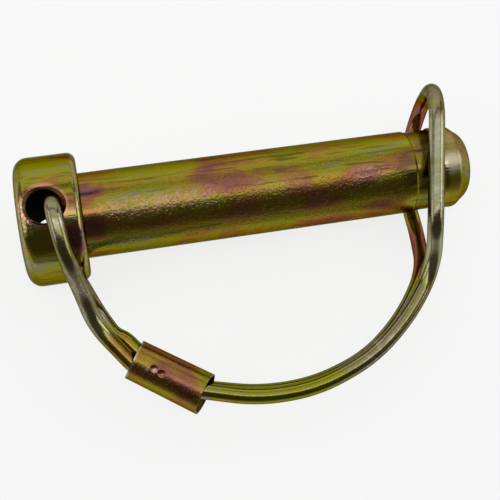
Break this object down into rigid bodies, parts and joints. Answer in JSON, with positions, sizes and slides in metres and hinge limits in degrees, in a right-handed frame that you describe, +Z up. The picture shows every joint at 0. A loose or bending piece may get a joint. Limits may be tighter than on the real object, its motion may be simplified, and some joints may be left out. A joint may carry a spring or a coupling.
{
  "type": "lynch pin",
  "caption": "Zinc-plated 12 mm lynch pin with a round-wire bail that swings in the head's cross hole and snaps over the pin's end.",
  "frame": {"origin": "on the pin's axis, in the plane of the shoulder under the head", "axes": "as the part lies at rest on a table: +Z up, +X from the head towards the tip, -Y towards the bow; the pin's own axis dips 3.18 degrees below +X, because the wire under the head is lower than the wire under the tip"},
  "size_m": [0.0651, 0.0425, 0.0229],
  "materials": {
    "plated_pin": "turned steel, yellow-passivated zinc plating with green and pink patches",
    "plated_wire": "drawn spring wire, smooth yellow-passivated zinc plating",
    "plated_sleeve": "thin pressed tube, yellow-passivated zinc plating, marked by the crimping tool"
  },
  "bodies": {
    "pin": {"pin": "plated_pin"},
    "bail": {"wire_bail": "plated_wire", "sleeve": "plated_sleeve"}
  },
  "joints": [
    {"name": "bail_swing", "type": "hinge", "parent": "pin", "child": "bail", "pos_m": [-0.00489, 0, 0.00027], "axis": [-0.0555, 0, -0.9985], "range_deg": [0, 250], "deforming": ["wire_bail"]}
  ]
}
